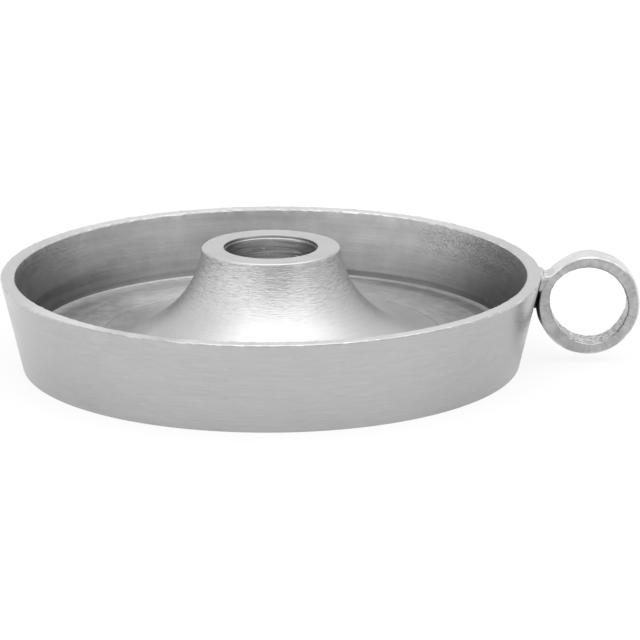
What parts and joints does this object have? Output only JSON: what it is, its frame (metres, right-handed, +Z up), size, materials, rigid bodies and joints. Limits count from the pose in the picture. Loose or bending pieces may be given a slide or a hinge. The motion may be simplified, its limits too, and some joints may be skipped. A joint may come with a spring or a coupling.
{
  "type": "chamberstick",
  "caption": "Low aluminium chamberstick: a flared round pan with a trumpet-shaped candle socket screwed to its floor and a finger ring welded to its rim.",
  "frame": {"origin": "centre of the pan's foot ring, on the plane it stands on and on the pan's axis", "axes": "+Z up along the candle bore, +X from the axis to the finger ring"},
  "size_m": [0.1532, 0.1298, 0.0285],
  "materials": {
    "pan_aluminium": "turned and brushed, satin",
    "socket_aluminium": "turned and brushed, satin",
    "ring_aluminium": "filed, satin",
    "weld_aluminium": "as welded",
    "fastener_steel": "zinc plated"
  },
  "bodies": {
    "root": {"pan": "pan_aluminium", "candle_socket": "socket_aluminium", "finger_ring": "ring_aluminium", "ring_weld": "weld_aluminium", "socket_screw": "fastener_steel", "flat_washer": "fastener_steel", "lock_washer": "fastener_steel"}
  },
  "joints": []
}
